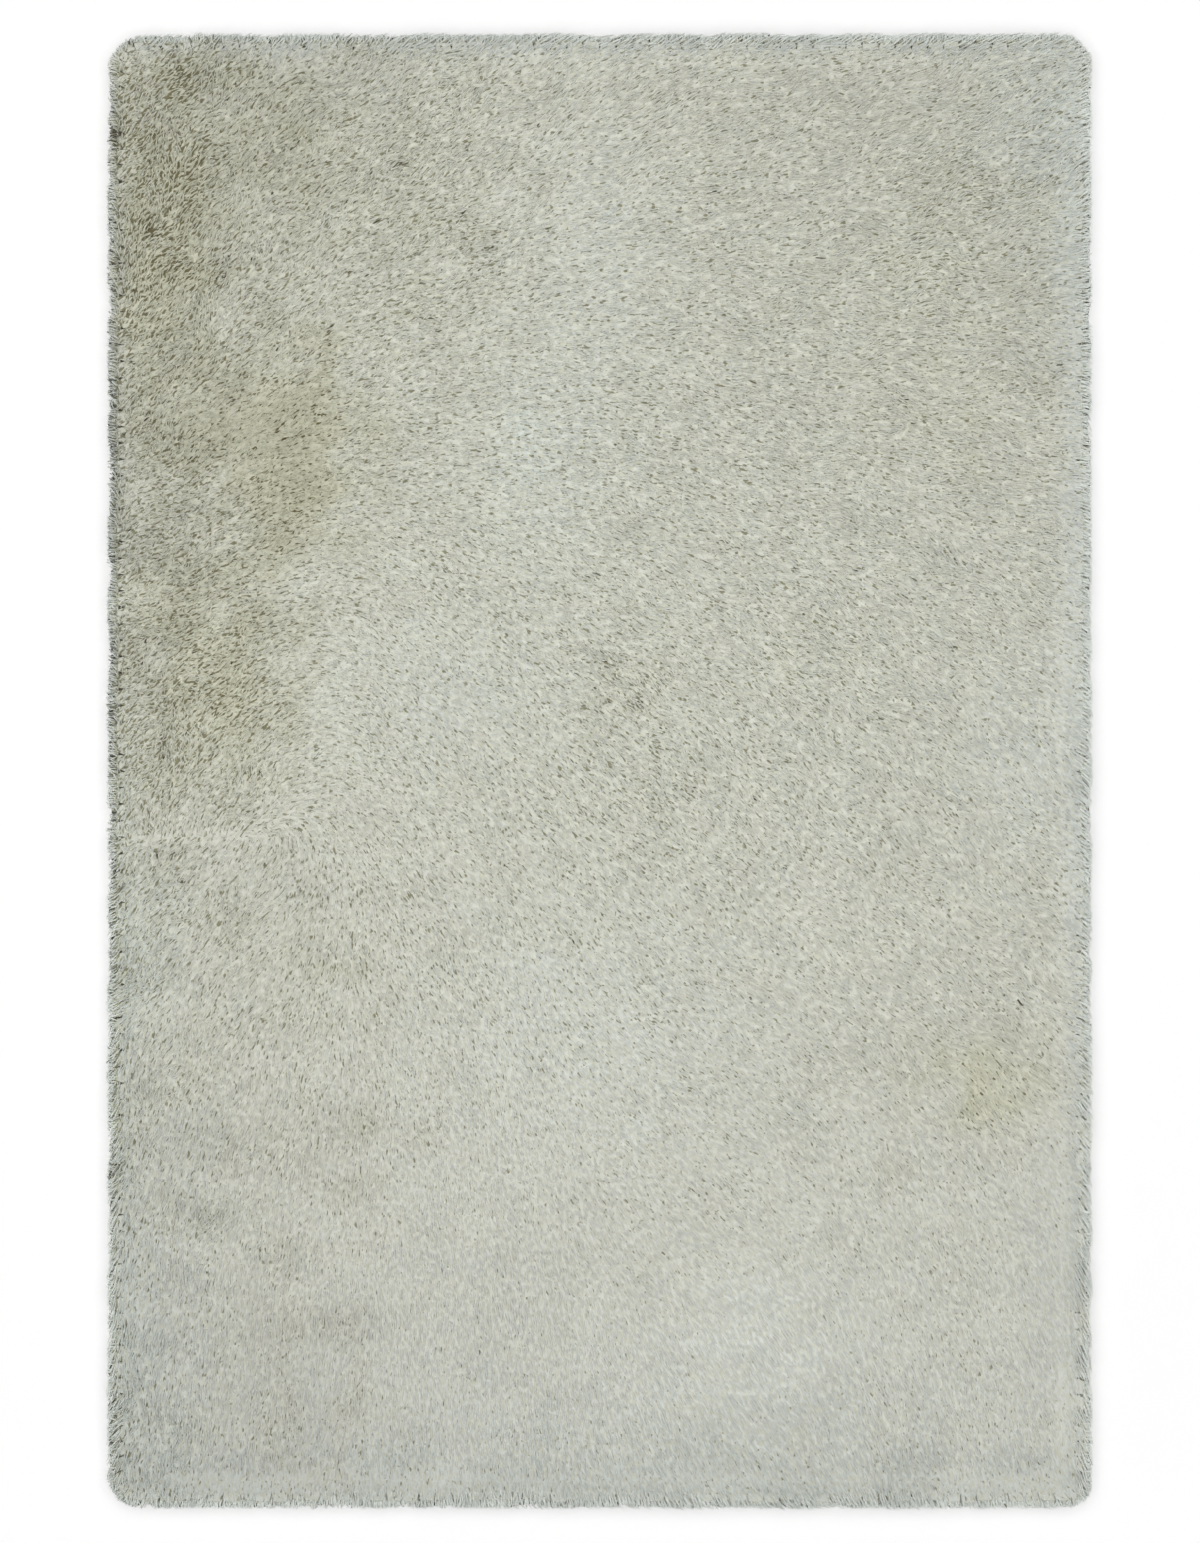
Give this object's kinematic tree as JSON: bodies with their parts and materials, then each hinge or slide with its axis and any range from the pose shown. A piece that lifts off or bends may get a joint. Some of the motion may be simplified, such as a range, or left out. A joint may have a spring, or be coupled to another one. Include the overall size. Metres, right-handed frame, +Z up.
{
  "type": "shag rug",
  "caption": "Rectangular shag rug with rounded corners, a deep uneven cream pile and locks of yarn leaning out all round its rim.",
  "frame": {"origin": "middle of the rug's underside, on the floor", "axes": "+X along the rug's width, to the right as it is seen from above; +Y along its length, to the top of that view; +Z up out of the pile"},
  "size_m": [1.2, 1.8, 0.0445],
  "materials": {
    "pile_yarn": "soft matt cut-pile yarn, cream with a grey-green cast, warmer and darker down at its roots",
    "backing_cloth": "plain woven backing, unbleached, matt"
  },
  "bodies": {
    "root": {"shag_rug": "pile_yarn"}
  },
  "joints": []
}
